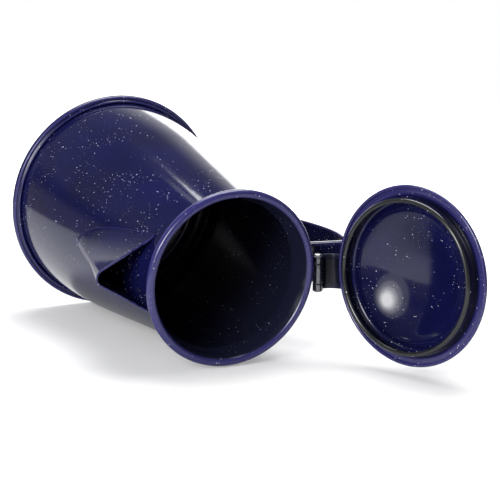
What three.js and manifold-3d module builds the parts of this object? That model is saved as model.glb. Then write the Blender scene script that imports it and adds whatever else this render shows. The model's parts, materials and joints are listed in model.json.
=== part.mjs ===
// Enamelled steel kettle with a hinged lid, standing upright with the lid open.
// Millimetres, +Z up, origin at the centre of the underside, +X towards the handle and the hinge.

import * as THREE from "three";
import { mergeVertices } from "three/addons/utils/BufferGeometryUtils.js";
import Module from "manifold-3d";

const wasm = await Module();
wasm.setup();

// Fits and overruns
const clearance = 0.3; // between pieces that touch
const overrun = 3; // how far a cutter reaches past what it cuts

// Shell
const shellFootRadius = 74.8; // outside, measured at the table
const shellTopRadius = 51.9; // outside, where the flare begins
const shellBow = 4.2; // how far its straight side, carried down to the table, passes outside the foot
const shellBowHeight = 80; // where the straight side begins
const shellSheet = 1;
const shellFootHeight = 1.4; // lower edge above the table
const flareRise = 12; // from the end of the straight side to the middle of the mouth's rim
const mouthRadius = 61.4; // outside of the rolled rim
const mouthHeight = 204; // centre of the rolled rim
const mouthCurl = 1.7; // radius of the curl, middle of the sheet
const mouthSlope = 35; // degrees from level, where the flare meets the curl

// Base
const baseRadius = 80; // outside of the bead
const baseBeadHeight = 4;
const baseSheet = 1;
const baseSeamHeight = 7.2;
const baseSeamCurl = 1.8; // of the seam's edge, down along the shell
const baseGroove = 1.6; // depth of the stiffening groove pressed into the underside
const baseGrooveRun = 2.5; // width of each of its slopes
const baseGrooveRadius = 67;
const seamPlay = 0.35; // between the shell and the band of the base round it

// Spout
const spoutRoot = 93; // where the keel leaves the shell
const spoutLipDrop = 20; // lip under the middle of the mouth's rim
const spoutTip = 86; // from the axis
const spoutSheet = 1;
const spoutLipHalfWidth = 24;
const spoutRootHalfWidth = 7;
const spoutNose = 5.5; // radius of the nose at the lip
const spoutKeelNose = 1.9; // radius of the nose at the root
const spoutBury = 3; // how far the sides run into the shell before they are trimmed
const keelBulgeShare = 0.42; // where the keel bends, as a share of its rise
const keelReachShare = 0.3; // how far it has come out there

// Strainer behind the spout
const strainerHole = 3.2;
const strainerPitch = 8.5;
const strainerDrop = 8; // top row under the spout's lip
const strainerRows = [4, 3, 4, 3, 2, 1]; // holes in each row, from the top

// Handle
const handleWidth = 28;
const handleSheet = 1.3;
const handleFlange = 3.2; // depth of the turned-in edges
const handleReach = 101.5; // from the axis to the middle of the strap
const handleTopDrop = 18; // top of the strap under the middle of the mouth's rim
const handleRootDrop = 5; // its upper root under its top
const handleLowerRoot = 84;
const handleBend = 12;
const handleFoot = 12; // length of each welded foot along the shell
const gripBulgeShares = { upper: 0.22, upperOut: 0.16, lower: 0.65, lowerIn: 0.37 };

// Hinge: the pin's line leans a little out of square, as it does on the kettle itself
const pinOut = 7.6; // pin past the mouth's rim
const pinDrop = 7.8; // pin under the middle of the mouth's rim
const hingeAside = -3.6; // middle of the hinge along the pin's line, off the kettle's middle
const pinRadius = 1.7;
const pinHeadRadius = 2.9;
const pinHeadHeight = 1.2;
const pinPeenRadius = 2.5;
const hingeTurn = -3.5; // degrees about the vertical
const hingeLean = -4; // degrees out of level
const lidOpening = 111; // degrees
const knuckleWall = 1.5;
const leafWidth = 24.4;
const middleKnuckle = 13.6;
const leafSheet = 1.2;
const leafSeat = 8; // how far the leaf lies on the lid
const leafInset = 0.3; // of the leaf's edges behind its knuckles' ends
const notchPlay = 0.6;
const bracketSheet = 1.3;
const bracketDrop = 7.1; // middle of the bracket's plate under the pin
const bracketTongue = 9; // past the pin
const bracketFoot = 4;

// Lid, all heights with the lid closed
const lidEdgeIn = 1.5; // edge of the lid inside the mouth's rim
const lidSeat = 0.5; // gap between the closed lid's edge and the mouth's rim
const lidSheet = 0.8;
const lidCurl = 0.9;
const lidFlangeStep = 0.8;
const lidFlangeRun = 5.2; // flat ring from the edge in to the step
const lidStepRun = 1.6;
const domeRadius = 48.6;
const domeRise = 21;
const domeCrown = 8; // radius of the flat crown
const collarPlay = 0.4; // between the collar and the mouth, level with the collar's lower edge
const collarSheet = 1;
const collarDrop = 8.4; // lower edge under the middle of the lid's edge
const collarCurl = 1.3;

// Knob
const knobRadius = 14;
const knobNeck = 5.5;
const knobFoot = 9;
const knobHeight = 19;
const knobFootHeight = 3;
const knobNeckHeight = 8;
const knobEdge = 3.5;

const roundSteps = 48;
const smallSteps = 16;
const holeSteps = 10;
const curveSteps = 3;
const spoutLevels = 12;
const slopeRounds = 6; // of the search for the spout's slope
const curveRounds = 24; // of the search for a height on a curve
const curlEndShare = 0.7; // of a half turn, how far a rim is rolled past level
const collarEndShare = 0.9;

const navy = new THREE.MeshStandardMaterial({ color: 0x14164a, roughness: 0.12, metalness: 0 });
const steel = new THREE.MeshStandardMaterial({ color: 0xb9bab8, roughness: 0.28, metalness: 1 });
const bareEdge = new THREE.MeshStandardMaterial({ color: 0x24262c, roughness: 0.3, metalness: 0.3 });

const flareStart = mouthHeight - flareRise;
const spoutLip = mouthHeight - spoutLipDrop;
const strainerTop = spoutLip - strainerDrop;
const handleTop = mouthHeight - handleTopDrop;
const handleUpperRoot = handleTop - handleRootDrop;
const shellTaper = (shellFootRadius + shellBow - shellTopRadius) / flareStart;
const mouthCurlRadius = mouthRadius - mouthCurl - shellSheet / 2;
const mouthTop = mouthHeight + mouthCurl + shellSheet / 2;
const pinReach = mouthRadius + pinOut;
const pinHeight = mouthHeight - pinDrop;
const bracketHeight = pinHeight - bracketDrop;
const knuckleRadius = pinRadius + clearance + knuckleWall;
const lidEdgeHeight = mouthTop + lidSeat + lidSheet / 2 + lidCurl;
const collarBottom = lidEdgeHeight - collarDrop;
const collarRadius = radiusAt(flare(), collarBottom) - shellSheet / 2 - collarPlay;
const lidCurlRadius = mouthRadius - lidEdgeIn - lidCurl - lidSheet / 2;
const lidStepRadius = lidCurlRadius + lidCurl + lidSheet / 2 - lidFlangeRun;
const flangeHeight = lidEdgeHeight + lidCurl;
const innerFlangeHeight = flangeHeight + lidFlangeStep;
const crownHeight = innerFlangeHeight + domeRise;

// The straight side, carried on past both its ends
function sideRadius(z) {
  return shellTopRadius + shellTaper * (flareStart - z);
}

function shellRadius(z) {
  const low = Math.max(1 - z / shellBowHeight, 0);
  return sideRadius(z) - shellBow * low * low;
}

// The trumpet between the straight side and the rolled rim, middle of the sheet
function flare() {
  const slope = THREE.MathUtils.degToRad(mouthSlope);
  const along = new THREE.Vector2(Math.cos(slope), Math.sin(slope));
  const start = new THREE.Vector2(shellTopRadius - shellSheet / 2, flareStart);
  const end = new THREE.Vector2(mouthCurlRadius - mouthCurl * along.y, mouthHeight + mouthCurl * along.x);
  const rise = end.clone().sub(start);
  const back = (rise.x + shellTaper * rise.y) / (along.x + shellTaper * along.y);
  const bend = end.clone().addScaledVector(along, -back);
  return new THREE.QuadraticBezierCurve(start, bend, end);
}

// The radius of a rising curve at a height
function radiusAt(curve, z) {
  let low = 0;
  let high = 1;
  for (let i = 0; i < curveRounds; i += 1) {
    const middle = (low + high) / 2;
    if (curve.getPoint(middle).y < z) low = middle;
    else high = middle;
  }
  return curve.getPoint(low).x;
}

// Closed geometry with shared corners, without the flat triangles that a profile makes on its axis
function closed(geometry) {
  geometry.deleteAttribute("normal");
  geometry.deleteAttribute("uv");
  const merged = mergeVertices(geometry);
  const index = Array.from(merged.index.array);
  const kept = [];
  for (let i = 0; i < index.length; i += 3) {
    const [a, b, c] = index.slice(i, i + 3);
    if (a !== b && b !== c && c !== a) kept.push(a, b, c);
  }
  merged.setIndex(kept);
  return merged;
}

function solid(geometry) {
  const merged = closed(geometry);
  const vertProperties = Float32Array.from(merged.attributes.position.array);
  const triVerts = Uint32Array.from(merged.index.array);
  return new wasm.Manifold(new wasm.Mesh({ numProp: 3, vertProperties, triVerts }));
}

function geometryOf(body) {
  const mesh = body.getMesh();
  const geometry = new THREE.BufferGeometry();
  geometry.setAttribute("position", new THREE.BufferAttribute(mesh.vertProperties, mesh.numProp));
  geometry.setIndex(new THREE.BufferAttribute(mesh.triVerts, 1));
  geometry.computeVertexNormals();
  return geometry;
}

function piece(name, body, material) {
  const mesh = new THREE.Mesh(geometryOf(body), material);
  mesh.name = name;
  return mesh;
}

// A line moved to its right by an even distance
function beside(line, distance) {
  return line.map((point, i) => {
    const before = line[Math.max(i - 1, 0)];
    const after = line[Math.min(i + 1, line.length - 1)];
    const along = after.clone().sub(before).normalize();
    return new THREE.Vector2(along.y, -along.x).multiplyScalar(distance).add(point);
  });
}

// The outline of a sheet of even thickness that follows a line
function sheetOutline(line, thickness) {
  return [...beside(line, thickness / 2), ...beside(line, -thickness / 2).reverse()];
}

// A turned body from a closed outline of radius and height
function turned(outline, steps) {
  const geometry = new THREE.LatheGeometry([...outline, outline[0]], steps);
  geometry.rotateX(Math.PI / 2);
  return solid(geometry);
}

// A body of one outline in X and Z, of even width along Y
function slab(outline, width) {
  const options = { depth: width, bevelEnabled: false };
  const geometry = new THREE.ExtrudeGeometry(new THREE.Shape(outline), options);
  geometry.translate(0, 0, -width / 2);
  geometry.rotateX(Math.PI / 2);
  return solid(geometry);
}

function block(width, depth, height, x, y, z) {
  const geometry = new THREE.BoxGeometry(width, depth, height);
  geometry.translate(x, y, z);
  return solid(geometry);
}

// Everything inside the straight side, grown by a gap
function shellCore(gap) {
  const outline = new THREE.Path();
  outline.moveTo(0, -overrun);
  outline.lineTo(sideRadius(-overrun) + gap, -overrun);
  outline.lineTo(sideRadius(flareStart) + gap, flareStart);
  outline.lineTo(0, flareStart);
  return turned(outline.getPoints(), roundSteps);
}

// A foot bent to the shell: a stretch of a cone round it, as wide as the piece that it belongs to
function shellFoot(bottom, top, thickness, width, aside) {
  const inner = clearance;
  const outer = clearance + thickness;
  const ring = new THREE.Path();
  ring.moveTo(sideRadius(bottom) + inner, bottom);
  ring.lineTo(sideRadius(bottom) + outer, bottom);
  ring.lineTo(sideRadius(top) + outer, top);
  ring.lineTo(sideRadius(top) + inner, top);
  const middle = (bottom + top) / 2;
  const reach = shellFootRadius;
  const window = block(reach, width, top - bottom + overrun, sideRadius(middle), aside, middle);
  return turned(ring.getPoints(), roundSteps).intersect(window);
}

function shell() {
  const middle = shellSheet / 2;
  const trumpet = flare();
  const curlStart = Math.PI / 2 + THREE.MathUtils.degToRad(mouthSlope);
  const line = new THREE.Path();
  line.moveTo(shellRadius(shellFootHeight) - middle, shellFootHeight);
  line.quadraticCurveTo(
    sideRadius(shellBowHeight / 2) - middle, shellBowHeight / 2,
    shellRadius(shellBowHeight) - middle, shellBowHeight,
  );
  line.lineTo(trumpet.v0.x, trumpet.v0.y);
  line.quadraticCurveTo(trumpet.v1.x, trumpet.v1.y, trumpet.v2.x, trumpet.v2.y);
  line.absarc(mouthCurlRadius, mouthHeight, mouthCurl, curlStart, -Math.PI * curlEndShare, true);
  const body = turned(sheetOutline(tidy(line.getPoints(curveSteps)), shellSheet), roundSteps);
  return body.subtract(strainer());
}

// Drops points that repeat the one before
function tidy(points) {
  return points.filter((point, i) => i === 0 || point.distanceTo(points[i - 1]) > clearance / 10);
}

// Rows of round holes, staggered, through the shell behind the spout
function strainer() {
  let holes = null;
  strainerRows.forEach((count, row) => {
    const z = strainerTop - row * strainerPitch;
    for (let i = 0; i < count; i += 1) {
      const aside = (i - (count - 1) / 2) * strainerPitch;
      const length = shellSheet + 2 * overrun;
      const geometry = new THREE.CylinderGeometry(strainerHole / 2, strainerHole / 2, length, holeSteps);
      geometry.rotateZ(Math.PI / 2);
      geometry.translate(-shellRadius(z), 0, z);
      geometry.rotateZ(aside / shellRadius(z));
      const hole = solid(geometry);
      holes = holes ? holes.add(hole) : hole;
    }
  });
  return holes;
}

function basePlate() {
  const half = baseSheet / 2;
  const ringOuter = shellRadius(0) - half;
  const bead = baseRadius - half;
  const lip = shellRadius(baseSeamHeight) + seamPlay + half;
  const line = new THREE.Path();
  line.moveTo(0, half);
  line.lineTo(baseGrooveRadius - baseGrooveRun, half);
  line.lineTo(baseGrooveRadius, half + baseGroove);
  line.lineTo(baseGrooveRadius + baseGrooveRun, half);
  line.lineTo(ringOuter, half);
  line.quadraticCurveTo(bead, half, bead, baseBeadHeight);
  line.quadraticCurveTo(bead, baseSeamHeight, lip + baseSeamCurl, baseSeamHeight);
  line.quadraticCurveTo(lip, baseSeamHeight, lip, baseSeamHeight - baseSeamCurl);
  return turned(sheetOutline(line.getPoints(curveSteps), baseSheet), roundSteps);
}

// One level of the folded spout: two straight sides and a round nose, outside then back along the inside
function spoutSection(share) {
  const z = spoutRoot + (spoutLip - spoutRoot) * share;
  const start = new THREE.Vector2(shellRadius(spoutRoot) - spoutSheet, spoutRoot);
  const rise = new THREE.Vector2(spoutTip, spoutLip).sub(start);
  const bend = new THREE.Vector2(start.x + rise.x * keelReachShare, start.y + rise.y * keelBulgeShare);
  const keel = new THREE.QuadraticBezierCurve(start, bend, new THREE.Vector2(spoutTip, spoutLip));
  const nose = THREE.MathUtils.lerp(spoutKeelNose, spoutNose, share);
  const end = shellRadius(z) - spoutBury;
  const halfWidth = THREE.MathUtils.lerp(spoutRootHalfWidth, spoutLipHalfWidth, Math.sqrt(share));
  const reach = radiusAt(keel, z);
  let slope = Math.atan2(halfWidth, reach - end);
  for (let i = 0; i < slopeRounds; i += 1) {
    slope = Math.atan2(halfWidth, reach + nose / Math.sin(slope) - nose - end);
  }
  const centre = reach - nose;
  const outer = spoutWall(centre, nose, slope, end, halfWidth);
  const thinner = halfWidth - spoutSheet / Math.cos(slope);
  const inner = spoutWall(centre, nose - spoutSheet, slope, end, thinner);
  return [...outer, ...inner.reverse()].map((point) => new THREE.Vector3(-point.x, point.y, z));
}

function spoutWall(centre, radius, slope, end, halfWidth) {
  const points = [new THREE.Vector2(end, halfWidth)];
  for (let i = 0; i <= curveSteps; i += 1) {
    const angle = (Math.PI / 2 - slope) * (1 - (2 * i) / curveSteps);
    points.push(new THREE.Vector2(centre + radius * Math.cos(angle), radius * Math.sin(angle)));
  }
  points.push(new THREE.Vector2(end, -halfWidth));
  return points;
}

function spout() {
  const rings = [];
  for (let i = 0; i <= spoutLevels; i += 1) rings.push(spoutSection(i / spoutLevels));
  const count = rings[0].length;
  const positions = rings.flat().flatMap((point) => [point.x, point.y, point.z]);
  const index = [];
  for (let level = 0; level < spoutLevels; level += 1) {
    for (let i = 0; i < count; i += 1) {
      const a = level * count + i;
      const b = level * count + ((i + 1) % count);
      index.push(a, b, a + count, b, b + count, a + count);
    }
  }
  const top = spoutLevels * count;
  for (let i = 0; i < count / 2 - 1; i += 1) {
    const j = count - 1 - i;
    index.push(i, j, i + 1, i + 1, j, j - 1);
    index.push(top + i, top + i + 1, top + j, top + i + 1, top + j - 1, top + j);
  }
  const geometry = new THREE.BufferGeometry();
  geometry.setAttribute("position", new THREE.Float32BufferAttribute(positions, 3));
  geometry.setIndex(index);
  return solid(geometry).subtract(shellCore(clearance));
}

// The strap's line in X and Z, from the upper root round the grip to the lower root
function handleLine() {
  const height = handleTop - handleLowerRoot;
  const shares = gripBulgeShares;
  const lowerEnd = shellRadius(handleLowerRoot);
  const depth = handleReach - lowerEnd;
  const line = new THREE.Path();
  line.moveTo(shellRadius(handleUpperRoot), handleUpperRoot);
  line.quadraticCurveTo(
    shellRadius(handleUpperRoot) + handleBend, handleTop - handleSheet,
    handleReach - handleBend, handleTop,
  );
  line.quadraticCurveTo(handleReach, handleTop + handleSheet, handleReach, handleTop - handleBend);
  line.bezierCurveTo(
    handleReach + depth * shares.upperOut, handleTop - handleBend - height * shares.upper,
    handleReach - depth * shares.lowerIn, handleTop - height * shares.lower,
    lowerEnd, handleLowerRoot,
  );
  return tidy(line.getPoints(2 * curveSteps));
}

// A channel: a strap with both edges turned in, on two feet bent to the shell
function handle() {
  const line = handleLine();
  const web = slab(sheetOutline(line, handleSheet), handleWidth);
  const aside = (handleWidth - handleSheet) / 2;
  const edge = slab(sheetOutline(beside(line, handleFlange / 2), handleFlange), handleSheet);
  const channel = web.add(edge.translate([0, aside, 0])).add(edge.translate([0, -aside, 0]));
  const upper = shellFoot(handleUpperRoot - handleFoot, handleUpperRoot, handleSheet, handleWidth, 0);
  const lower = shellFoot(handleLowerRoot - handleFoot, handleLowerRoot, handleSheet, handleWidth, 0);
  return channel.subtract(shellCore(clearance)).add(upper).add(lower);
}

// The hinge's own frame: its Y axis is the pin's line
const lean = THREE.MathUtils.degToRad(hingeLean);
const turn = -THREE.MathUtils.degToRad(hingeTurn);
const pinLine = new THREE.Vector3(0, 1, 0).applyEuler(new THREE.Euler(lean, 0, turn, "ZXY"));
const pinPlace = new THREE.Vector3(pinReach, 0, pinHeight).addScaledVector(pinLine, hingeAside);

// A body turned about the pin's line, from an outline of radius and place along it
function aboutPin(outline) {
  const geometry = new THREE.LatheGeometry(outline, smallSteps);
  geometry.applyQuaternion(new THREE.Quaternion().setFromUnitVectors(new THREE.Vector3(0, 1, 0), pinLine));
  geometry.translate(pinPlace.x, pinPlace.y, pinPlace.z);
  return solid(geometry);
}

// A round body along the pin, from one place on its line to another
function round(radius, from, to) {
  const line = new THREE.Path();
  line.moveTo(0, from);
  line.lineTo(radius, from);
  line.lineTo(radius, to);
  line.lineTo(0, to);
  return aboutPin(line.getPoints());
}

// Its formed head is low and rounded, and its other end is spread by a blow
function pin() {
  const end = leafWidth / 2 + clearance;
  const peenEnd = end + pinHeadHeight / 2;
  const headEnd = end + pinHeadHeight;
  const line = new THREE.Path();
  line.moveTo(0, -peenEnd);
  line.quadraticCurveTo(pinPeenRadius, -peenEnd, pinPeenRadius, -end);
  line.lineTo(pinRadius, -end);
  line.lineTo(pinRadius, end);
  line.lineTo(pinHeadRadius, end);
  line.quadraticCurveTo(pinHeadRadius, headEnd, 0, headEnd);
  return aboutPin(line.getPoints(curveSteps));
}

// The half on the kettle: a plate under the rim, with the middle knuckle and a tongue that stops the lid
function bracket() {
  const half = bracketSheet / 2;
  const wall = shellRadius(bracketHeight);
  const length = pinPlace.x + bracketTongue - wall;
  const aside = pinPlace.y;
  const plate = block(length, middleKnuckle, bracketSheet, wall + length / 2, aside, bracketHeight);
  const bottom = bracketHeight - bracketFoot;
  const foot = shellFoot(bottom, bracketHeight + half, bracketSheet, middleKnuckle, aside);
  const saddle = pinPlace.z - bracketHeight;
  const webSheet = 2 * bracketSheet;
  const webWidth = middleKnuckle - webSheet;
  const web = block(webSheet, webWidth, saddle, pinPlace.x - webSheet, aside, bracketHeight + saddle / 2);
  const knuckle = round(knuckleRadius, -middleKnuckle / 2, middleKnuckle / 2);
  const bore = round(pinRadius + clearance, -leafWidth, leafWidth);
  return plate.subtract(shellCore(clearance)).add(foot).add(web).add(knuckle).subtract(bore);
}

// The half on the lid: a bent leaf with a knuckle at each side of the bracket's
function leaf() {
  const height = innerFlangeHeight + lidSheet / 2 + clearance + leafSheet / 2;
  const side = pinPlace.x + knuckleRadius - leafSheet / 2;
  const seatEnd = domeRadius + lidSheet / 2 + clearance + leafSheet;
  const line = new THREE.Path();
  line.moveTo(side, pinPlace.z);
  line.lineTo(side, pinPlace.z + leafSheet);
  line.quadraticCurveTo(side, height, seatEnd + leafSeat, height);
  line.lineTo(seatEnd, height);
  const strip = slab(sheetOutline(line.getPoints(2 * curveSteps), leafSheet), leafWidth - 2 * leafInset);
  const plate = strip.translate([0, pinPlace.y, 0]);
  const gap = middleKnuckle / 2 + clearance;
  const left = round(knuckleRadius, -leafWidth / 2, -gap);
  const right = round(knuckleRadius, gap, leafWidth / 2);
  const notch = round(knuckleRadius + notchPlay, -gap, gap);
  const bore = round(pinRadius + clearance, -leafWidth, leafWidth);
  return plate.subtract(notch).add(left).add(right).subtract(bore);
}

function lidShell() {
  const line = new THREE.Path();
  line.absarc(lidCurlRadius, lidEdgeHeight, lidCurl, -Math.PI * curlEndShare, Math.PI / 2, false);
  line.lineTo(lidStepRadius, flangeHeight);
  line.lineTo(lidStepRadius - lidStepRun, innerFlangeHeight);
  line.lineTo(domeRadius, innerFlangeHeight);
  line.absellipse(domeCrown, innerFlangeHeight, domeRadius - domeCrown, domeRise, 0, Math.PI / 2, false);
  line.lineTo(0, crownHeight);
  return turned(sheetOutline(tidy(line.getPoints(curveSteps)), lidSheet), roundSteps);
}

function lidCollar() {
  const middle = collarRadius - collarSheet / 2;
  const bottom = lidEdgeHeight - collarDrop + collarSheet / 2;
  const top = innerFlangeHeight - lidSheet / 2 - clearance;
  const line = new THREE.Path();
  const end = -Math.PI * collarEndShare;
  line.absarc(middle - collarCurl, bottom + collarCurl, collarCurl, end, 0, false);
  line.lineTo(middle, top);
  return turned(sheetOutline(tidy(line.getPoints(curveSteps)), collarSheet), roundSteps);
}

function knob() {
  const foot = crownHeight + lidSheet / 2 + clearance;
  const top = foot + knobHeight;
  const line = new THREE.Path();
  line.moveTo(0, foot);
  line.lineTo(knobFoot, foot);
  line.quadraticCurveTo(knobNeck, foot + knobFootHeight, knobNeck, foot + knobNeckHeight);
  line.quadraticCurveTo(knobNeck, top - 2 * knobEdge, knobRadius, top - 2 * knobEdge);
  line.quadraticCurveTo(
    knobRadius + knobEdge / 2, top - knobEdge,
    knobRadius - knobEdge, top - knobEdge / 2,
  );
  line.quadraticCurveTo(knobNeck, top, 0, top);
  return turned(tidy(line.getPoints(curveSteps)), roundSteps / 2);
}

const kettle = new THREE.Group();
kettle.add(piece("body_shell", shell(), navy));
kettle.add(piece("base_plate", basePlate(), navy));
kettle.add(piece("spout", spout(), navy));
kettle.add(piece("handle", handle(), navy));
kettle.add(piece("hinge_bracket", bracket(), navy));
kettle.add(piece("hinge_pin", pin(), steel));

// The lid is made closed and swung open about the pin
const lid = new THREE.Group();
lid.add(piece("lid_shell", lidShell(), navy));
lid.add(piece("lid_collar", lidCollar(), bareEdge));
lid.add(piece("lid_knob", knob(), navy));
lid.add(piece("hinge_leaf", leaf(), navy));
lid.quaternion.setFromAxisAngle(pinLine, THREE.MathUtils.degToRad(lidOpening));
lid.position.copy(pinPlace).sub(pinPlace.clone().applyQuaternion(lid.quaternion));
kettle.add(lid);

export default kettle;
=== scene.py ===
# Enamelled steel kettle with a hinged lid. It lies on its side on a white table, lid open, as photographed.
# Metres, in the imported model's frame: +Z along the kettle's axis, +X towards the handle and the hinge.

import json
import math

import bmesh
import bpy
from mathutils import Matrix, Vector


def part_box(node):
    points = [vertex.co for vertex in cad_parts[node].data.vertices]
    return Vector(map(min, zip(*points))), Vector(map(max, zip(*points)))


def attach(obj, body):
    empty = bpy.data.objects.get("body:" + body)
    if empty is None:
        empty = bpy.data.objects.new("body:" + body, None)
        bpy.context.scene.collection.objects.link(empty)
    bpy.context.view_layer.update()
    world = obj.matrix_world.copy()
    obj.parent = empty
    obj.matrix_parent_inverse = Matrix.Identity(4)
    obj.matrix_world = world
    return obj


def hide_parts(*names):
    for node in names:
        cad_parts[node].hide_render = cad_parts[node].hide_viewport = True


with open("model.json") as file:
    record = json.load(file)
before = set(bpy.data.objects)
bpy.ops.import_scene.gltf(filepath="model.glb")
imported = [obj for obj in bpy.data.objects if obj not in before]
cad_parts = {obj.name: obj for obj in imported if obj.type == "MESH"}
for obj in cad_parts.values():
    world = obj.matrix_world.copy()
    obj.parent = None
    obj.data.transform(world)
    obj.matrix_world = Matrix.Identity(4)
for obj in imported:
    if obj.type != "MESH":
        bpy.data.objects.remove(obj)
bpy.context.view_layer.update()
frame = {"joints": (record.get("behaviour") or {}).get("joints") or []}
scene = bpy.context.scene

# Camera
# It stands just above the table and looks along the kettle into the mouth, with a long lens.
# Place and turn come from the outlines of the base, the mouth and the lid in the photograph.
mm = 0.001
camera_place = Vector((-472.5, 322.7, 1129.9)) * mm
camera_turn = Vector((-18.272, -26.413, 4.513))
camera_lens = 120.6

camera = bpy.data.objects.new("camera", bpy.data.cameras.new("camera"))
camera.data.lens = camera_lens
camera.location = camera_place
camera.rotation_euler = [math.radians(angle) for angle in camera_turn]
scene.collection.objects.link(camera)
scene.camera = camera

# Shell
# The tapered side of the pot, rolled from one sheet of steel, butt welded and dipped in navy enamel.
# Its mouth is flared and the edge is rolled outwards. Behind the spout it is punched as a strainer.
sheet_thickness = 1 * mm
foot_radius = 74.8 * mm
top_radius = 51.9 * mm
flare_start = 192 * mm
flare_rise = 3 * mm
flare_lead = 4 * mm
bow = 4.2 * mm
bow_height = 80 * mm
foot_height = 1.4 * mm
mouth_radius = 61.4 * mm
mouth_height = 203.4 * mm
mouth_curl = 2.3 * mm
mouth_slope = math.radians(60)
curl_end = math.radians(-140)
taper = (foot_radius + bow - top_radius) / flare_start
side_steps = 48
round_steps = 256
same_place = mm / 100
crease = math.radians(50)


def side_radius(z):
    """The straight side, carried on past both its ends."""
    return top_radius + taper * (flare_start - z)


def shell_radius(z):
    """The side with its slight bow towards the foot."""
    low = max(1 - z / bow_height, 0)
    return side_radius(z) - bow * low * low


def bezier(controls, steps):
    """Points along a curve that is led by its controls."""
    points = []
    for i in range(steps + 1):
        level = [Vector(c) for c in controls]
        while len(level) > 1:
            level = [a.lerp(b, i / steps) for a, b in zip(level, level[1:])]
        points.append(level[0])
    return points


def arc(centre, radius, start, end, steps):
    """Points along a part of a circle."""
    angles = [start + (end - start) * i / steps for i in range(steps + 1)]
    return [Vector((centre[0] + radius * math.cos(a), centre[1] + radius * math.sin(a))) for a in angles]


def joined(*runs):
    """Runs of points as one line, without points that repeat the one before."""
    line = []
    for point in (p for run in runs for p in run):
        if not line or (point - line[-1]).length > same_place:
            line.append(point)
    return line


def sides(line):
    """The unit vector to the right of a line of two dimensions, at each of its points."""
    found = []
    for i in range(len(line)):
        along = line[min(i + 1, len(line) - 1)] - line[max(i - 1, 0)]
        found.append(Vector((along.y, -along.x)).normalized())
    return found


def sheet_outline(line, thickness):
    """Round a sheet that follows a line, with its free edges rounded. An end on the axis stays square."""
    half = thickness / 2
    normals = sides(line)
    right = [p + n * half for p, n in zip(line, normals)]
    left = [p - n * half for p, n in zip(line, normals)]

    def cap(centre, normal):
        start = math.atan2(normal.y, normal.x)
        return arc(centre, half, start, start + math.pi, 6)[1:-1]

    first = [] if line[0].x < same_place else cap(line[0], -normals[0])
    return right + cap(line[-1], normals[-1]) + left[::-1] + first


def made(name, verts, faces):
    """A smooth mesh object whose faces all look outwards, linked to the scene."""
    mesh = bpy.data.meshes.new(name)
    mesh.from_pydata(verts, [], faces)
    shape = bmesh.new()
    shape.from_mesh(mesh)
    bmesh.ops.recalc_face_normals(shape, faces=shape.faces)
    shape.to_mesh(mesh)
    shape.free()
    mesh.shade_smooth()
    thing = bpy.data.objects.new(name, mesh)
    scene.collection.objects.link(thing)
    return thing


def turned(name, outline, steps=round_steps):
    """A body turned about Z, from an outline of radius and height that closes on itself or on the axis."""
    solid = outline[0].x < same_place
    ring = outline[1:-1] if solid else outline
    count = len(ring)
    verts, faces = [], []
    for step in range(steps):
        angle = 2 * math.pi * step / steps
        verts += [(p.x * math.cos(angle), p.x * math.sin(angle), p.y) for p in ring]
    for step in range(steps):
        a, b = step * count, (step + 1) % steps * count
        for i in range(count - 1 if solid else count):
            j = (i + 1) % count
            faces.append((a + i, b + i, b + j, a + j))
        if solid:
            low = steps * count
            faces += [(low, b, a), (low + 1, a + count - 1, b + count - 1)]
    if solid:
        verts += [(0, 0, outline[0].y), (0, 0, outline[-1].y)]
    return made(name, verts, faces)


def settled(thing, *modifiers):
    """Applies modifiers, each given as (kind, settings), and keeps only real creases sharp."""
    for kind, settings in modifiers:
        modifier = thing.modifiers.new(kind.lower(), kind)
        for name, value in settings.items():
            setattr(modifier, name, value)
    graph = bpy.context.evaluated_depsgraph_get()
    mesh = bpy.data.meshes.new_from_object(thing.evaluated_get(graph))
    thing.modifiers.clear()
    thing.data = mesh
    mesh.name = thing.name
    mesh.shade_smooth()
    mesh.set_sharp_from_angle(angle=crease)


def cut(thing, tool):
    """Cuts the shape of a tool out of a piece, and puts the tool away."""
    settled(thing, ("BOOLEAN", {"object": tool, "operation": "DIFFERENCE", "solver": "EXACT"}))
    bpy.data.objects.remove(tool)


def mark_edges(thing, sharpest=1400, bluntest=180, painted_light_zone=None, above=-1, inside=False):
    """Writes how pale the coat is at each point, from 0 to 1, partly a thin coat and partly painted
    highlight: where the surface bends sharply outwards above a height, and as painted light in a given zone.
    Also writes which points are on the kettle's inside, where the enamel is painted darker as painted shade."""
    mesh = thing.data
    near = [[] for _ in mesh.vertices]
    for edge in mesh.edges:
        a, b = edge.vertices
        near[a].append(b)
        near[b].append(a)
    values = []
    for vertex in mesh.vertices:
        steps = [vertex.co - mesh.vertices[i].co for i in near[vertex.index]]
        bend = max((2 * vertex.normal.dot(s) / max(s.length_squared, 1e-12) for s in steps), default=0)
        least = painted_light_zone(vertex.co) if painted_light_zone else 0
        bend = bend if vertex.co.z > above else 0
        values.append(min(max((bend - bluntest) / (sharpest - bluntest), least, 0), 1))
    mesh.attributes.new("thin_coat_and_highlight", "FLOAT", "POINT").data.foreach_set("value", values)
    facing = [float(inside and vertex.normal.xy.dot(vertex.co.xy) < 0) for vertex in mesh.vertices]
    mesh.attributes.new("inner_face", "FLOAT", "POINT").data.foreach_set("value", facing)


def beyond(radius, fade, height=0):
    """Grows from 0 to 1 as a place above a height passes a radius from the axis."""
    return lambda place: min((place.xy.length - radius) / fade, 1) if place.z > height else 0


def put(tree, kind, inputs=None, **settings):
    """Adds a shader node. An input is a plain value or another node's output."""
    added = tree.nodes.new("ShaderNode" + kind)
    for name, value in settings.items():
        setattr(added, name, value)
    for name, value in (inputs or {}).items():
        if isinstance(value, bpy.types.NodeSocket):
            tree.links.new(value, added.inputs[name])
        else:
            added.inputs[name].default_value = value
    return added


def counted(tree, operation, first, second):
    """What a named operation makes of two values."""
    return put(tree, "Math", {0: first, 1: second}, operation=operation).outputs["Value"]


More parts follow.
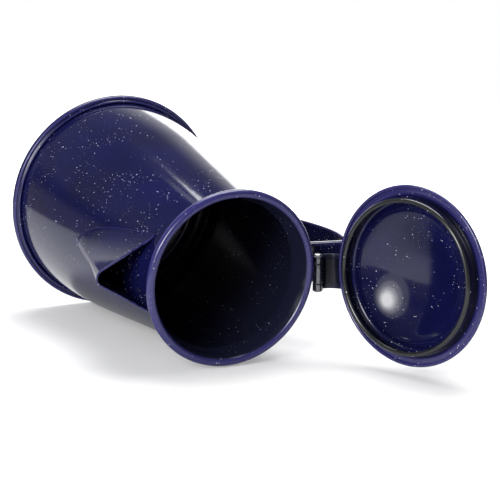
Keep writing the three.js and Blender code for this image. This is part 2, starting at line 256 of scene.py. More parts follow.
def ranged(tree, value, low=0.0, high=1.0, to_low=0.0, to_high=1.0):
    """A value carried from one range to another and held within it."""
    ends = {"From Min": low, "From Max": high, "To Min": to_low, "To Max": to_high}
    return put(tree, "MapRange", {"Value": value, **ends}).outputs["Result"]


def between(tree, share, first, second):
    """A colour between two others."""
    return put(tree, "Mix", {0: share, 6: first, 7: second}, data_type="RGBA").outputs[2]


def noise(tree, place, length, detail):
    """Soft lumps of about a length."""
    return put(tree, "TexNoise", {"Vector": place, "Scale": 1 / length, "Detail": detail}).outputs["Fac"]


def relief(tree, height, depth, strength=1.0, under=None):
    """A fine relief of a depth, on top of another one if there is one."""
    inputs = {"Height": height, "Strength": strength, "Distance": depth}
    if under:
        inputs["Normal"] = under
    return put(tree, "Bump", inputs).outputs["Normal"]


def new_material(name):
    """A material, its node tree and its shader."""
    material = bpy.data.materials.new(name)
    material.use_nodes = True
    return material, material.node_tree, material.node_tree.nodes["Principled BSDF"]


speck_drift = 26 * mm
drift_range = (0.38, 0.62)
speck_pitch = 2.3 * mm
speck_sizes = (0.17 * mm, 0.36 * mm)
speck_height = 0.03 * mm
soft_edge_share = 0.25
dust_pitch = 1.5 * mm
dust_sizes = (0.1 * mm, 0.2 * mm)
dust_strength = 0.45
inner_speck_share = 0.3
navy = (0.0056, 0.0064, 0.054, 1)
deep_navy = (0.0044, 0.0052, 0.036, 1)
# Painted shade: the kettle's inside is painted darker than the outside coat.
inside_shade_navy = (0.008, 0.0088, 0.022, 1)
# Paler blue at bent edges and on the rim: partly a thin coat, partly painted highlight.
thin_and_highlight_blue = (0.03, 0.027, 0.13, 1)
speck_white = (0.76, 0.77, 0.9, 1)
pool_length = 40 * mm
pool_range = (0.35, 0.65)
wear_length = 14 * mm
wear_roughness = 0.06
wave_length = 9 * mm
wave_height = 0.03 * mm
peel_length = 1.1 * mm
peel_height = 0.0016 * mm


def specks(tree, place, pitch, sizes, share):
    """White glass specks of random size, in some cells of a grid of even pitch, fewer on the inside."""
    smallest, largest = sizes
    cells = put(tree, "TexVoronoi", {"Vector": place, "Scale": 1 / pitch, "Randomness": 1.0})
    chance = put(tree, "SeparateColor", {"Color": cells.outputs["Color"]})
    size = ranged(tree, chance.outputs["Red"], to_low=smallest / pitch, to_high=largest / pitch)
    within = counted(tree, "SUBTRACT", size, cells.outputs["Distance"])
    edge = ranged(tree, within, high=soft_edge_share * smallest / pitch)
    crowd = ranged(tree, noise(tree, place, speck_drift, 2.0), *drift_range, to_high=2 * share)
    inner = put(tree, "Attribute", attribute_name="inner_face").outputs["Fac"]
    many = counted(tree, "MULTIPLY", crowd, ranged(tree, inner, to_low=1.0, to_high=inner_speck_share))
    there = counted(tree, "LESS_THAN", chance.outputs["Green"], many)
    return counted(tree, "MULTIPLY", edge, there)


def enamel(name, coat=navy, pool=deep_navy, thin_and_highlight=thin_and_highlight_blue, speck_share=0.42, gloss=0.07, shine=0.5):
    """Dipped enamel: a glassy navy coat, deeper where it pooled, paler at edges partly as a thin coat and
    partly as painted highlight, darker on the inside as painted shade, with fine white specks.
    """
    material, tree, shader = new_material(name)
    shader.inputs["Specular IOR Level"].default_value = shine
    place = put(tree, "TexCoord").outputs["Object"]
    depth = ranged(tree, noise(tree, place, pool_length, 3.0), *pool_range)
    # Paler at bent edges: partly a thin coat, partly painted highlight.
    edge = put(tree, "Attribute", attribute_name="thin_coat_and_highlight").outputs["Fac"]
    inner = put(tree, "Attribute", attribute_name="inner_face").outputs["Fac"]
    # Painted shade: the faces on the inside are painted darker.
    inside_shaded = between(tree, inner, between(tree, depth, pool, coat), inside_shade_navy)
    large = specks(tree, place, speck_pitch, speck_sizes, speck_share)
    fine = specks(tree, place, dust_pitch, dust_sizes, speck_share)
    white = counted(tree, "MAXIMUM", large, counted(tree, "MULTIPLY", fine, dust_strength))
    final = between(tree, white, between(tree, edge, inside_shaded, thin_and_highlight), speck_white)
    tree.links.new(final, shader.inputs["Base Color"])
    wear = noise(tree, place, wear_length, 4.0)
    rough = ranged(tree, wear, to_low=gloss, to_high=gloss + wear_roughness)
    tree.links.new(rough, shader.inputs["Roughness"])
    waved = relief(tree, noise(tree, place, wave_length, 1.0), wave_height)
    peeled = relief(tree, noise(tree, place, peel_length, 1.0), peel_height, under=waved)
    tree.links.new(relief(tree, large, speck_height, under=peeled), shader.inputs["Normal"])
    return material


strainer_hole = 3.2 * mm
strainer_pitch = 8.5 * mm
strainer_top = 176 * mm
strainer_rows = (4, 3, 4, 3, 2, 1)
punch_reach = 4 * mm
punch_sides = 20


def strainer():
    """The punches of the strainer: staggered rows of round bars through the shell, towards the spout."""
    verts, faces = [], []
    for row, count in enumerate(strainer_rows):
        z = strainer_top - row * strainer_pitch
        for i in range(count):
            aside = (i - (count - 1) / 2) * strainer_pitch
            turn = Matrix.Rotation(math.pi + aside / shell_radius(z), 4, "Z")
            start = len(verts)
            for reach in (shell_radius(z) - punch_reach, shell_radius(z) + punch_reach):
                for k in range(punch_sides):
                    angle = 2 * math.pi * k / punch_sides
                    across, up = (strainer_hole / 2 * f(angle) for f in (math.cos, math.sin))
                    verts.append(turn @ Vector((reach, across, z + up)))
            near, far = [range(start + n * punch_sides, start + (n + 1) * punch_sides) for n in (0, 1)]
            faces += [tuple(near), tuple(far)]
            for k in range(punch_sides):
                j = (k + 1) % punch_sides
                faces.append((near[k], near[j], far[j], far[k]))
    return made("strainer_punches", verts, faces)


# The rolled mouth is out of round, as worked by hand: it is pressed in on the side of the spout.
press_way = Vector((-0.966, 0.259))
press_depth = 2.7 * mm
press_start = 197.5 * mm
press_run = 5.5 * mm


def pressed(place):
    """A place of the shell, after the mouth is pressed in."""
    outwards = place.xy.normalized()
    rise = min(max((place.z - press_start) / press_run, 0), 1)
    side = (1 + outwards.dot(press_way)) / 2
    return place.xy - outwards * press_depth * side * rise * rise * (3 - 2 * rise)


bends_above = 195 * mm
# Painted light: the rolled rim past this radius is painted paler, as a painted highlight where it is lit.
rim_painted_light = beyond(55.9 * mm, 0.6 * mm, 200 * mm)

middle = sheet_thickness / 2
curl_radius = mouth_radius - mouth_curl - middle
side_heights = [foot_height + (flare_start - foot_height) * i / side_steps for i in range(side_steps + 1)]
side_line = [Vector((shell_radius(z) - middle, z)) for z in side_heights]
flare_along = Vector((math.cos(mouth_slope), math.sin(mouth_slope)))
flare_end = Vector((curl_radius - mouth_curl * flare_along.y, mouth_height + mouth_curl * flare_along.x))
shell_line = joined(
    side_line,
    bezier([side_line[-1], (side_radius(flare_start + flare_rise) - middle, flare_start + flare_rise),
            flare_end - flare_along * flare_lead, flare_end], 28),
    arc((curl_radius, mouth_height), mouth_curl, math.pi / 2 + mouth_slope, curl_end, 18),
)
shell = turned("shell", sheet_outline(shell_line, sheet_thickness))
cut(shell, strainer())
mark_edges(shell, sharpest=900, painted_light_zone=rim_painted_light, above=bends_above, inside=True)
for vertex in shell.data.vertices:
    vertex.co.xy = pressed(vertex.co)
navy_enamel = enamel("navy_enamel")
shell.data.materials.append(navy_enamel)
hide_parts("body_shell")
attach(shell, "kettle")

# Base
# The pressed bottom. Its edge is rolled up round the foot of the shell and closed down on it as a seam,
# with a round shoulder outside, a shallow hollow and a narrow crest beside the crevice at the shell.
base_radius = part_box("base_plate")[1].x
bead_height = 4 * mm
shoulder_in, shoulder_height = 1.3 * mm, 6.1 * mm
hollow_in, hollow_height = 2.3 * mm, 5.9 * mm
crest_run, crest_rise = 0.8 * mm, 0.4 * mm
seam_height = 7.2 * mm
seam_curl = 1.8 * mm
seam_play = 0.35 * mm
groove = 1.6 * mm
groove_run = 2.5 * mm
groove_radius = 67 * mm

bead = base_radius - middle
lip = shell_radius(seam_height) + seam_play + middle
wall_foot = shell_radius(0) - middle
shoulder = Vector((bead - shoulder_in, shoulder_height))
hollow = Vector((bead - hollow_in, hollow_height))
crest = Vector((lip + crest_run, seam_height))
base_line = joined(
    bezier([(0, middle), (groove_radius - groove_run, middle)], 10),
    bezier([(groove_radius - groove_run, middle), (groove_radius, middle + 2 * groove),
            (groove_radius + groove_run, middle)], 10),
    bezier([(groove_radius + groove_run, middle), (wall_foot, middle)], 2),
    bezier([(wall_foot, middle), (bead, middle), (bead, bead_height)], 14),
    bezier([(bead, bead_height), (bead, shoulder.y), shoulder], 12),
    bezier([shoulder, hollow, crest], 12),
    bezier([crest, (lip, seam_height + crest_rise), (lip, seam_height - seam_curl)], 12),
)
base = turned("base", sheet_outline(base_line, sheet_thickness))
mark_edges(base, sharpest=600)
base.data.materials.append(navy_enamel)
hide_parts("base_plate")
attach(base, "kettle")

# Spout
# One sheet folded to a V with a rounded keel, trimmed to the shell and welded over the strainer.
# The enamel fills the corner between the two. Along the cut edge of the lip it is painted paler, partly as a
# thin coat and partly as painted highlight.
spout_root = 93 * mm
spout_lip = 184 * mm
spout_tip = 85.6 * mm
lip_half_width = 24 * mm
root_half_width = 7 * mm
nose_at_lip = 6.5 * mm
nose_at_root = 1.9 * mm
keel_bulge_share = 0.42
keel_reach_share = 0.3
spout_sink = 3 * mm
weld_run = 2.2 * mm
trim_step = mm / 10
lip_softness = 0.42 * mm
spout_levels = 60
first_level = 3

keel_start = Vector((shell_radius(spout_root) - sheet_thickness, spout_root))
keel_end = Vector((spout_tip, spout_lip))
keel_rise = keel_end - keel_start
keel_bend = keel_start + Vector((keel_rise.x * keel_reach_share, keel_rise.y * keel_bulge_share))
keel = bezier([keel_start, keel_bend, keel_end], 200)


def radius_at(line, z):
    """The radius of a rising line at a height."""
    a, b = next((a, b) for a, b in zip(line, line[1:]) if b.y >= z or b == line[-1])
    return a.x if b.y == a.y else a.x + (b.x - a.x) * (z - a.y) / (b.y - a.y)


def spout_section(share):
    """One level of the sheet's middle, from the shell round the nose and back, in plan."""
    z = spout_root + (spout_lip - spout_root) * share
    wall = shell_radius(z) + middle
    nose = nose_at_root + (nose_at_lip - nose_at_root) * share ** 3 - middle
    half_width = root_half_width + (lip_half_width - root_half_width) * math.sqrt(share) - middle
    reach = radius_at(keel, z) - middle
    foot = shell_radius(z) - spout_sink
    slope = math.atan2(half_width, reach - foot)
    for _ in range(8):
        slope = math.atan2(half_width, reach + nose / math.sin(slope) - nose - foot)
    centre = reach - nose
    point = centre + nose / math.sin(slope)
    run = Vector((-math.cos(slope), math.sin(slope)))
    along = 0.0
    while math.hypot(point + run.x * along, run.y * along) > wall and along < spout_lip:
        along += trim_step
    hit = Vector((point, 0)) + run * along
    tangent_length = min(nose / math.tan(slope), along - weld_run)
    start = Vector((point, 0)) + run * tangent_length
    bend = weld_run / wall
    angle = math.atan2(hit.y, hit.x)
    welded = Vector((wall * math.cos(angle + bend), wall * math.sin(angle + bend)))
    before = hit - run * weld_run
    corner = bezier([before, hit, welded], 8)
    straight = bezier([start, before], 16)
    half = arc((centre, 0), nose, 0, math.pi / 2 - slope, 10)
    upper = half[:-1] + straight + corner[1:]
    lower = [Vector((p.x, -p.y)) for p in reversed(upper[1:])]
    return [Vector((-p.x, p.y, z)) for p in lower + upper]


def grid(name, rows):
    """A surface through rows of points, all of one length."""
    count = len(rows[0])
    faces = [(a * count + i, a * count + i + 1, (a + 1) * count + i + 1, (a + 1) * count + i)
             for a in range(len(rows) - 1) for i in range(count - 1)]
    return made(name, [point for row in rows for point in row], faces)


def thicken(surface, thickness, softness):
    """Gives a surface the thickness of its sheet, to both sides alike, and softens the edges."""
    settled(surface,
            ("SOLIDIFY", {"thickness": thickness, "offset": 0}),
            ("BEVEL", {"width": softness, "segments": 3, "angle_limit": crease}))


spout_rows = [spout_section(i / spout_levels) for i in range(first_level, spout_levels + 1)]
spout = grid("pouring_spout", spout_rows)
thicken(spout, sheet_thickness, lip_softness)
mark_edges(spout, inside=True)
spout.data.materials.append(navy_enamel)
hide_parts("spout")
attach(spout, "kettle")

# Handle
# A steel strap with both edges turned in, so that it is smooth in the hand. Its ends are flattened to
# feet that follow the round of the shell and are welded to it before the kettle is enamelled.
strap_width = 28 * mm
strap_thickness = 1.3 * mm
strap_flange = 3.2 * mm
strap_corner = 1.6 * mm
strap_crown = 0.8 * mm
strap_softness = 0.5 * mm
least_corner = mm / 20
least_flange = mm / 10
handle_reach = 101.5 * mm
handle_top = 186 * mm
upper_root = 181 * mm
lower_root = 84 * mm
handle_bend = 12 * mm
handle_foot = 12 * mm
root_bend = 3.5 * mm
root_rise_share = 0.4
upper_share, upper_out_share = 0.22, 0.16
lower_share, lower_in_share = 0.65, 0.37
flatten_run = 9 * mm
foot_gap = 0.35 * mm

stand = foot_gap + strap_thickness / 2
root_radius = side_radius(upper_root)
upper_heights = (upper_root - handle_foot, upper_root - root_bend)
upper_foot = [Vector((side_radius(z) + stand, z)) for z in upper_heights]
corner_top = Vector((root_radius + stand, upper_root))
leaving = Vector((root_radius + stand + root_bend, upper_root + root_rise_share * root_bend))
bend_start = (handle_reach - handle_bend, handle_top)
bend_end = (handle_reach, handle_top - handle_bend)
low_end = Vector((side_radius(lower_root) + stand, lower_root))
height, depth = handle_top - lower_root, handle_reach - side_radius(lower_root)
grip_line = joined(
    bezier(upper_foot, 12),
    bezier([upper_foot[1], corner_top, leaving], 10),
    bezier([leaving, (root_radius + handle_bend, handle_top - strap_thickness), bend_start], 16),
    bezier([bend_start, (handle_reach, handle_top + strap_thickness), bend_end], 18),
    bezier([bend_end,
            (handle_reach + depth * upper_out_share, handle_top - handle_bend - height * upper_share),
            (handle_reach - depth * lower_in_share, handle_top - height * lower_share), low_end], 48),
    bezier([low_end, (side_radius(lower_root - handle_foot) + stand, lower_root - handle_foot)], 12),
)


def strap_section(flatness):
    """Half of the strap's middle across its width, as (aside, inwards), from the centre line to the edge."""
    flange = strap_flange * (1 - flatness)
    edge = (strap_width - strap_thickness) / 2
    corner = strap_corner * (1 - flatness) + least_corner
    crown = [Vector(((edge - corner) * i / 8, 0)) for i in range(9)]
    bent = arc((edge - corner, corner), corner, -math.pi / 2, 0, 6)
    line = joined(crown, bent, [Vector((edge, max(flange, corner + least_flange)))])
    return [Vector((p.x, p.y + strap_crown * (1 - flatness) * ((p.x / edge) ** 2 - 1))) for p in line]


lengths = [0.0]
for a, b in zip(grip_line, grip_line[1:]):
    lengths.append(lengths[-1] + (b - a).length)
strap_rows = []
for point, side, run in zip(grip_line, sides(grip_line), lengths):
    from_end = min(run, lengths[-1] - run)
    flatness = min(max((handle_foot + flatten_run / 2 - from_end) / flatten_run, 0), 1)
    flatness = flatness * flatness * (3 - 2 * flatness)
    half = strap_section(flatness)
    wall = side_radius(point.y)
    strap_rows.append([])
    for aside, deep in [Vector((-p.x, p.y)) for p in reversed(half[1:])] + half:
        hug = flatness * (wall - math.sqrt(wall * wall - aside * aside))
        strap_rows[-1].append((point.x + side.x * deep - hug, aside, point.y + side.y * deep))
handle = grid("strap_handle", strap_rows)
thicken(handle, strap_thickness, strap_softness)
mark_edges(handle)
handle.data.materials.append(navy_enamel)
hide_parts("handle")
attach(handle, "kettle")

# Hinge bracket
# The kettle's half of the hinge: a plate welded under the rim, rolled up to the middle knuckle. Its tongue
# goes on past the pin and stops the open lid. The enamel is thin and dark, and worn to steel at the knuckle.
lid_joint = frame["joints"][0]
hinge_aside = -3.6 * mm
pin_line = -Vector(lid_joint["axis"]).normalized()
pin_place = Vector(lid_joint["pos_m"]) + pin_line * hinge_aside
opening = math.radians(lid_joint["range_deg"][1])
pin_radius = 1.7 * mm
bore_play = 0.3 * mm
knuckle_wall = 1.5 * mm
knuckle_softness = 0.45 * mm
knuckle_opening = 0.01
middle_knuckle = 13.6 * mm
bracket_thickness = 1.3 * mm
bracket_drop = 7.1 * mm
bracket_tongue = 9 * mm
bracket_foot = 4 * mm
bracket_bend = 1.2 * mm
web_drop = 1.5 * mm
strip_softness = 0.4 * mm
strip_steps = 6
knuckle_radius = pin_radius + bore_play + knuckle_wall


def about_pin(name, outline, steps=48):
    """A body turned about the pin's line, from an outline of radius and place along the line."""
    thing = turned(name, outline, steps)
    square = Vector((0, 0, 1)).rotation_difference(pin_line).to_matrix().to_4x4()
    thing.data.transform(Matrix.Translation(pin_place) @ square)
    return thing


def knuckle(name, start, end):
    """A rolled eye of the hinge between two places on the pin's line, with soft ends and a worn face."""
    soft = knuckle_softness
    inner = pin_radius + bore_play
    outline = joined(
        [Vector((inner, start + soft)), Vector((inner, end - soft))],
        arc((inner + soft, end - soft), soft, math.pi, math.pi / 2, 4),
        arc((knuckle_radius - soft, end - soft), soft, math.pi / 2, 0, 4),
        arc((knuckle_radius - soft, start + soft), soft, 0, -math.pi / 2, 4),
        arc((inner + soft, start + soft), soft, -math.pi / 2, -math.pi + knuckle_opening, 4),
    )
    eye = about_pin(name, outline)
    for polygon in eye.data.polygons:
        polygon.material_index = 1
    return eye


def strip(name, line, width, thickness):
    """A bent strip of even width along Y, whose line lies in X and Z."""
    rows = []
    for point in line:
        places = [pin_place.y + width / 2 * (2 * k / strip_steps - 1) for k in range(strip_steps + 1)]
        rows.append([(point.x, y, point.y) for y in places])
    thing = grid(name, rows)
    thicken(thing, thickness, strip_softness)
    return thing


def united(name, *things):
    """Several meshes as one object."""
    merged = bmesh.new()
    for thing in things:
        merged.from_mesh(thing.data)
        bpy.data.objects.remove(thing)
    mesh = bpy.data.meshes.new(name)
    merged.to_mesh(mesh)
    merged.free()
    mesh.shade_smooth()
    mesh.set_sharp_from_angle(angle=crease)
    thing = bpy.data.objects.new(name, mesh)
    scene.collection.objects.link(thing)
    return thing


dull_length = 1.5 * mm
polished, brushed = 0.16, 0.34
scratch_stretch = (1, 0.05, 1)
scratch_width = 0.15 * mm
scratch_depth = 0.003 * mm


def bare_steel(name, bright=(0.62, 0.62, 0.61, 1), dulled=(0.44, 0.44, 0.43, 1)):
    """Drawn steel: bright, with fine scratches along the wire and a few dull spots."""
    material, tree, shader = new_material(name)
    shader.inputs["Metallic"].default_value = 1.0
    place = put(tree, "TexCoord").outputs["Object"]
    dull = noise(tree, place, dull_length, 4.0)
    tree.links.new(between(tree, dull, bright, dulled), shader.inputs["Base Color"])
    tree.links.new(ranged(tree, dull, to_low=polished, to_high=brushed), shader.inputs["Roughness"])
    stretched = put(tree, "Mapping", {"Vector": place, "Scale": scratch_stretch}).outputs["Vector"]
    lines = noise(tree, stretched, scratch_width, 2.0)
    tree.links.new(relief(tree, lines, scratch_depth, strength=0.5), shader.inputs["Normal"])
    return material


plate_height = pin_place.z - bracket_drop
foot_bottom = plate_height - bracket_foot
wall = side_radius(plate_height) + stand
web_place = pin_place.x - 2 * bracket_thickness
below_bend = (wall, plate_height - bracket_bend)
after_bend = (wall + bracket_bend, plate_height)
tongue_end = (pin_place.x + bracket_tongue - bracket_thickness / 2, plate_height)
plate_line = joined(
    bezier([(side_radius(foot_bottom) + stand, foot_bottom), below_bend], 4),
    bezier([below_bend, (wall, plate_height), after_bend], 6),
    bezier([after_bend, tongue_end], 12),
)
web_line = bezier([(web_place, plate_height), (web_place, pin_place.z - web_drop)], 4)
bracket = united(
    "hinge_bracket_plate",
    strip("plate", plate_line, middle_knuckle, bracket_thickness),
    strip("web", web_line, middle_knuckle - 2 * bracket_thickness, 2 * bracket_thickness),
    knuckle("eye", -middle_knuckle / 2, middle_knuckle / 2),
)
mark_edges(bracket)
hinge_black = (0.004, 0.0048, 0.014, 1)
# The hinge's bent edges are painted a little paler, partly as a thin coat and partly as painted highlight.
hinge_thin_and_highlight = (0.016, 0.017, 0.04, 1)
hinge_enamel = enamel("hinge_enamel", coat=hinge_black, pool=hinge_black, thin_and_highlight=hinge_thin_and_highlight,
                      speck_share=0.06, gloss=0.12, shine=0.3)
knuckle_steel = bare_steel("knuckle_steel", bright=(0.26, 0.27, 0.29, 1), dulled=(0.08, 0.085, 0.1, 1))
bracket.data.materials.append(hinge_enamel)
bracket.data.materials.append(knuckle_steel)
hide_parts("hinge_bracket")
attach(bracket, "kettle")

# Hinge pin
# Bare steel wire with a formed head, put in after enamelling and spread at the far end with a hammer.
# It passes through all three knuckles, and its ends stand a little clear of the outer two.
leaf_width = 24.4 * mm
head_radius = 2.9 * mm
head_height = 1.2 * mm
peen_radius = 2.5 * mm
end_play = 0.3 * mm

pin_end = leaf_width / 2 + end_play
peen_end = -pin_end - head_height / 2
head_end = pin_end + head_height
pin = about_pin("pin", joined(
    [Vector((0, peen_end))],
    bezier([(0, peen_end), (peen_radius, peen_end), (peen_radius, -pin_end)], 8),
    [Vector((pin_radius, -pin_end)), Vector((pin_radius, pin_end)), Vector((head_radius, pin_end))],
    bezier([(head_radius, pin_end), (head_radius, head_end), (0, head_end)], 10),
))
pin.data.set_sharp_from_angle(angle=crease)
pin.data.materials.append(bare_steel("pin_steel"))
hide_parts("hinge_pin")
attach(pin, "kettle")

# Lid
# Pressed from one sheet: a domed middle, a stepped flange that covers the mouth, and an edge rolled under.
# It is made closed here, and then swung open about the pin.
lid_thickness = 0.8 * mm
lid_curl = 0.9 * mm
lid_curl_start = math.radians(-126)
lid_seat = 0.5 * mm
lid_edge_in = 1.55 * mm
flange_step = 0.8 * mm
flange_run = 5.2 * mm
step_run = 1.6 * mm
step_bend = 0.8 * mm
dome_radius = 48.6 * mm
dome_rise = 21 * mm
dome_lead = 1.2 * mm
dome_bend = 0.2 * mm
dome_steps = 48
bent_steps = 5
# Painted light: the lid's flange past this radius is painted paler, as a painted highlight and reflection.
flange_painted_light = beyond(52.8 * mm, 1.2 * mm)

half_lid = lid_thickness / 2
edge_height = mouth_height + mouth_curl + middle + lid_seat + half_lid + lid_curl
lid_curl_radius = mouth_radius - lid_edge_in - lid_curl - half_lid
flange_height = edge_height + lid_curl
inner_flange = flange_height + flange_step
crown_height = inner_flange + dome_rise
step_radius = mouth_radius - lid_edge_in - flange_run
step_start = (step_radius + step_bend, flange_height)
step_middle = (step_radius - step_run / 2, (flange_height + inner_flange) / 2)
step_end = (step_radius - step_run - step_bend, inner_flange)
before_dome = (dome_radius + dome_lead, inner_flange)
dome = [Vector((dome_radius * math.cos(a), inner_flange + dome_rise * math.sin(a)))
        for a in (math.pi / 2 * i / dome_steps for i in range(dome_steps + 1))]
dome[-1].x = 0
lid_line = joined(
    arc((lid_curl_radius, edge_height), lid_curl, lid_curl_start, math.pi / 2, 14),
    bezier([(lid_curl_radius, flange_height), step_start], 5),
    bezier([step_start, (step_radius, flange_height), step_middle], 6),
    bezier([step_middle, (step_radius - step_run, inner_flange), step_end], 6),
    bezier([step_end, before_dome], 3),
    bezier([before_dome, (dome_radius - dome_bend, inner_flange), dome[bent_steps]], 8),
    dome[bent_steps + 1:],
)
lid = turned("lid", sheet_outline(lid_line[::-1], lid_thickness))
mark_edges(lid, bluntest=600, painted_light_zone=flange_painted_light)
swing = Matrix.Rotation(opening, 4, pin_line)
opened = Matrix.Translation(pin_place) @ swing @ Matrix.Translation(-pin_place)
lid.data.transform(opened)
lid.data.materials.append(navy_enamel)
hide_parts("lid_shell")
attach(lid, "lid")

# Lid collar
# The ring inside the lid that drops into the mouth and keeps the lid in place. Its lower edge is turned in,
# and there the enamel is worn to a grey line.
collar_radius = 51.8 * mm
collar_drop = 8.4 * mm
collar_curl = 1.15 * mm
collar_curl_start = math.radians(-162)
weld_gap = 0.3 * mm
edge_grey = (0.02, 0.021, 0.022, 1)

collar_middle = collar_radius - middle
collar_bottom = edge_height - collar_drop + middle
curl_height = collar_bottom + collar_curl
collar_line = joined(
    arc((collar_middle - collar_curl, curl_height), collar_curl, collar_curl_start, 0, 12),
    bezier([(collar_middle, curl_height), (collar_middle, inner_flange - half_lid - weld_gap)], 8),
)
collar = turned("lid_ring", sheet_outline(collar_line, sheet_thickness))
mark_edges(collar, sharpest=700, bluntest=120)
collar.data.transform(opened)
collar.data.materials.append(enamel("collar_enamel", coat=hinge_black, pool=hinge_black, thin_and_highlight=edge_grey,
                                    speck_share=0.1, gloss=0.06))
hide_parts("lid_collar")
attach(collar, "lid")

# Knob
# A pressed and hollow knob with a waist for the fingers, welded to the crown of the lid.
# Its foot follows the round of the dome.
knob_radius = 14 * mm
knob_neck = 5.5 * mm
knob_foot = 9 * mm
knob_height = 19 * mm
knob_foot_height = 3 * mm
knob_neck_height = 8 * mm
knob_edge = 3.5 * mm
knob_gap = 0.1 * mm
knob_steps = 96

knob_base = crown_height + half_lid + knob_gap
knob_sink = dome_rise * (1 - math.sqrt(1 - (knob_foot / dome_radius) ** 2))
knob_top = knob_base + knob_height
foot_edge = (knob_foot, knob_base - knob_sink)
waist = (knob_neck, knob_base + knob_neck_height)
under_edge = (knob_radius, knob_top - 2 * knob_edge)
over_edge = (knob_radius - knob_edge, knob_top - knob_edge / 2)
knob = turned("knob", joined(
    bezier([(0, knob_base), (knob_foot / 2, knob_base), foot_edge], 6),
    bezier([foot_edge, (knob_neck, knob_base + knob_foot_height), waist], 12),
    bezier([waist, (knob_neck, knob_top - 2 * knob_edge), under_edge], 14),
    bezier([under_edge, (knob_radius + knob_edge / 2, knob_top - knob_edge), over_edge], 12),
    bezier([over_edge, (knob_neck, knob_top), (0, knob_top)], 12),
), knob_steps)
mark_edges(knob)
knob.data.transform(opened)
knob.data.materials.append(navy_enamel)
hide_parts("lid_knob")
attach(knob, "lid")

# Hinge leaf
# The lid's half of the hinge: a strip spot welded on the flange, bent down and rolled into two knuckles
# at the sides of the bracket's one. A notch between them leaves room for the bracket.
leaf_thickness = 1.2 * mm
leaf_seat = 8 * mm
leaf_inset = 0.3 * mm
notch_play = 0.6 * mm
knuckle_play = 0.3 * mm

knuckle_gap = middle_knuckle / 2 + knuckle_play
notch_radius = knuckle_radius + notch_play
leaf_height = inner_flange + half_lid + weld_gap + leaf_thickness / 2
leaf_side = pin_place.x + knuckle_radius - leaf_thickness / 2
seat_start = (dome_radius + half_lid + weld_gap + leaf_thickness, leaf_height)
seat_end = (seat_start[0] + leaf_seat, leaf_height)
fall_start = (leaf_side, pin_place.z + leaf_thickness)
leaf_line = joined(
    bezier([seat_start, seat_end], 6),
    bezier([seat_end, (leaf_side, leaf_height), fall_start], 14),
    bezier([fall_start, (leaf_side, pin_place.z)], 3),
)
leaf_plate = strip("leaf_plate", leaf_line, leaf_width - 2 * leaf_inset, leaf_thickness)
notch_corners = ((0, -knuckle_gap), (notch_radius, -knuckle_gap),
                 (notch_radius, knuckle_gap), (0, knuckle_gap))
cut(leaf_plate, about_pin("notch", [Vector(corner) for corner in notch_corners]))
leaf = united("leaf", leaf_plate, knuckle("near_eye", -leaf_width / 2, -knuckle_gap),
              knuckle("far_eye", knuckle_gap, leaf_width / 2))
mark_edges(leaf)
leaf.data.transform(opened)
leaf.data.materials.append(hinge_enamel)
leaf.data.materials.append(knuckle_steel)
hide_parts("hinge_leaf")
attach(leaf, "lid")

# Table
# A white sheet. The kettle lies on it on the bead of its base and the rim of its mouth. It is turned a
# little to the kettle, shows from above only, and thins out to nothing at its edges.
table_angle = math.radians(-27)
table_along = 150 * mm
left_edge, right_edge, front_edge, back_edge = -600 * mm, 900 * mm, -480 * mm, 1600 * mm
edge_fade = 80 * mm
paper_grain = 1 / 60
glow_start, glow_end = 250 * mm, 600 * mm

table_start = Vector((0, -base_radius, bead_height))
table_rise = (Vector((0, -mouth_radius, mouth_height)) - table_start).normalized()
table_up = table_rise.cross(Vector((1, 0, 0))).normalized()
table_turn = Matrix.Rotation(table_angle, 3, table_up)
table_right = table_turn @ Vector((1, 0, 0))
table_back = table_turn @ -table_rise
table_middle = table_start + table_rise * table_along
table_edges = ((left_edge, front_edge), (right_edge, front_edge),
               (right_edge, back_edge), (left_edge, back_edge))
corners = [table_middle + table_right * a + table_back * b for a, b in table_edges]
table_mesh = bpy.data.meshes.new("table")
table_mesh.from_pydata(corners, [], [(0, 1, 2, 3)])
table = bpy.data.objects.new("table", table_mesh)
scene.collection.objects.link(table)
table_mesh.update()
if table_mesh.polygons[0].normal.dot(table_up) < 0:
    table_mesh.flip_normals()


def looked_at(tree):
    """1 for what is looked at, also through something clear, and 0 for what only lights or is mirrored."""
    path = put(tree, "LightPath")
    return counted(tree, "MAXIMUM", path.outputs["Is Camera Ray"], path.outputs["Is Transmission Ray"])


def measured(tree, place, axis):
    """How far a place lies along an axis."""
    return put(tree, "VectorMath", {0: place, 1: axis}, operation="DOT_PRODUCT").outputs["Value"]


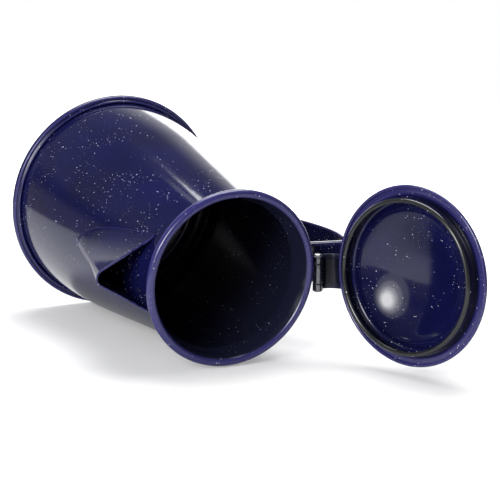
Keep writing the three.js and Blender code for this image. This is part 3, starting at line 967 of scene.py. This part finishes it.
def table_white(name, shade=0.8, lift=0.25):
    """Matt white paper that glows a little where it is looked at, and more further out."""
    material, tree, plain = new_material(name)
    tree.nodes.remove(plain)
    place = put(tree, "NewGeometry")
    grain = noise(tree, place.outputs["Position"], paper_grain, 3.0)
    tone = between(tree, grain, (shade, shade, shade, 1), (shade * 0.98, shade * 0.98, shade * 0.985, 1))
    paper = put(tree, "BsdfDiffuse", {"Color": tone})
    offset = put(tree, "VectorMath", {0: place.outputs["Position"], 1: table_middle}, operation="SUBTRACT")
    offset = offset.outputs["Vector"]
    distance = put(tree, "VectorMath", {0: offset}, operation="LENGTH").outputs["Value"]
    lifted = ranged(tree, distance, glow_start, glow_end, to_low=lift)
    strength = counted(tree, "MULTIPLY", looked_at(tree), lifted)
    glow = put(tree, "Emission", {"Color": (1, 1, 1, 1), "Strength": strength})
    lit = put(tree, "AddShader", {0: paper.outputs["BSDF"], 1: glow.outputs["Emission"]})
    kept = counted(tree, "SUBTRACT", 1.0, place.outputs["Backfacing"])
    for axis, low, high in ((table_right, left_edge, right_edge), (table_back, front_edge, back_edge)):
        along = measured(tree, offset, axis)
        for start, stop in ((low, low + edge_fade), (high, high - edge_fade)):
            kept = counted(tree, "MULTIPLY", kept, ranged(tree, along, start, stop))
    empty = put(tree, "BsdfTransparent")
    mixed = put(tree, "MixShader", {0: kept, 1: empty.outputs["BSDF"], 2: lit.outputs["Shader"]})
    tree.links.new(mixed.outputs["Shader"], tree.nodes["Material Output"].inputs["Surface"])
    return material


table_mesh.materials.append(table_white("table_white"))

# Light
# A soft box high over the kettle, a low wide one behind it and a small faint lamp between them. At the
# front left is an oval lamp, whose soft edge is made of five discs. The room is dim, and white behind
# the table.
kettle_middle = Vector((20, 0, 110)) * mm
lid_middle = Vector((110, 0, 255)) * mm
top_place = kettle_middle + table_up * 1.1 + table_back * 0.28 + table_right * 0.08
back_aim = table_middle + table_up * 0.3
back_place = table_middle + table_back * 1.6 + table_up * 0.3
small_place = Vector((-0.03, 0.9, -0.7))
front_way = Vector((-0.84, 0.379, 0.388))
front_discs = ((0.36, 5), (0.5, 5), (0.66, 3.5), (0.9, 2), (1.25, 1))
disc_share = 0.58
disc_step = 0.01
disc_roll = 45


def lamp_at(name, shape, place, aim, width, depth, radiance, roll=0):
    """An area lamp of even radiance, aimed at a point, level along its width unless it is rolled."""
    lamp = bpy.data.lights.new(name, "AREA")
    lamp.shape = shape
    lamp.size, lamp.size_y = width, depth
    area = width * depth * (math.pi / 4 if shape == "ELLIPSE" else 1)
    lamp.energy = math.pi * area * radiance
    thing = bpy.data.objects.new(name, lamp)
    thing.location = place
    back = (place - aim).normalized()
    level = table_up.cross(back).normalized()
    thing.rotation_mode = "QUATERNION"
    square = Matrix((level, back.cross(level), back)).transposed()
    thing.rotation_quaternion = (square @ Matrix.Rotation(math.radians(roll), 3, "Z")).to_quaternion()
    scene.collection.objects.link(thing)


lamp_at("top_box", "RECTANGLE", top_place, kettle_middle, width=1.0, depth=0.8, radiance=7.2)
lamp_at("back_box", "RECTANGLE", back_place, back_aim, width=1.6, depth=0.65, radiance=2.4)
lamp_at("strip_lamp", "RECTANGLE", small_place, kettle_middle, width=0.08, depth=0.1, radiance=0.9)
for i, (width, radiance) in enumerate(front_discs):
    lamp_at("front_lamp_%d" % i, "ELLIPSE", lid_middle + front_way * (1 + disc_step * i), lid_middle,
            width, width * disc_share, radiance, disc_roll)

wall_tones = (
    (0, (0.16, 0.14, 0.12)), (0.45, (0.24, 0.22, 0.2)), (0.52, (0.22, 0.2, 0.19)),
    (0.57, (0.06, 0.06, 0.065)), (0.6, (0.07, 0.07, 0.075)), (0.66, (0.18, 0.18, 0.19)),
    (0.8, (0.16, 0.16, 0.17)), (0.87, (0.11, 0.11, 0.12)), (1, (0.12, 0.12, 0.12)),
)
white = (1, 1, 1, 1)
world = bpy.data.worlds.new("room")
world.use_nodes = True
scene.world = world
tree = world.node_tree
toward = put(tree, "TexCoord").outputs["Generated"]
rising = measured(tree, toward, table_up)
walls = put(tree, "ValToRGB", {"Fac": ranged(tree, rising, low=-1.0)})
ramp = walls.color_ramp
while len(ramp.elements) < len(wall_tones):
    ramp.elements.new(0.5)
for element, (position, colour) in zip(ramp.elements, wall_tones):
    element.position = position
    element.color = (*colour, 1)
behind = ranged(tree, measured(tree, toward, table_back), 0.7, 0.9)
low = ranged(tree, rising, 0.56, 0.31)
room = between(tree, counted(tree, "MULTIPLY", behind, low), walls.outputs["Color"], white)
shown = between(tree, looked_at(tree), room, white)
tree.links.new(shown, tree.nodes["Background"].inputs["Color"])
scene.view_settings.view_transform = "Standard"
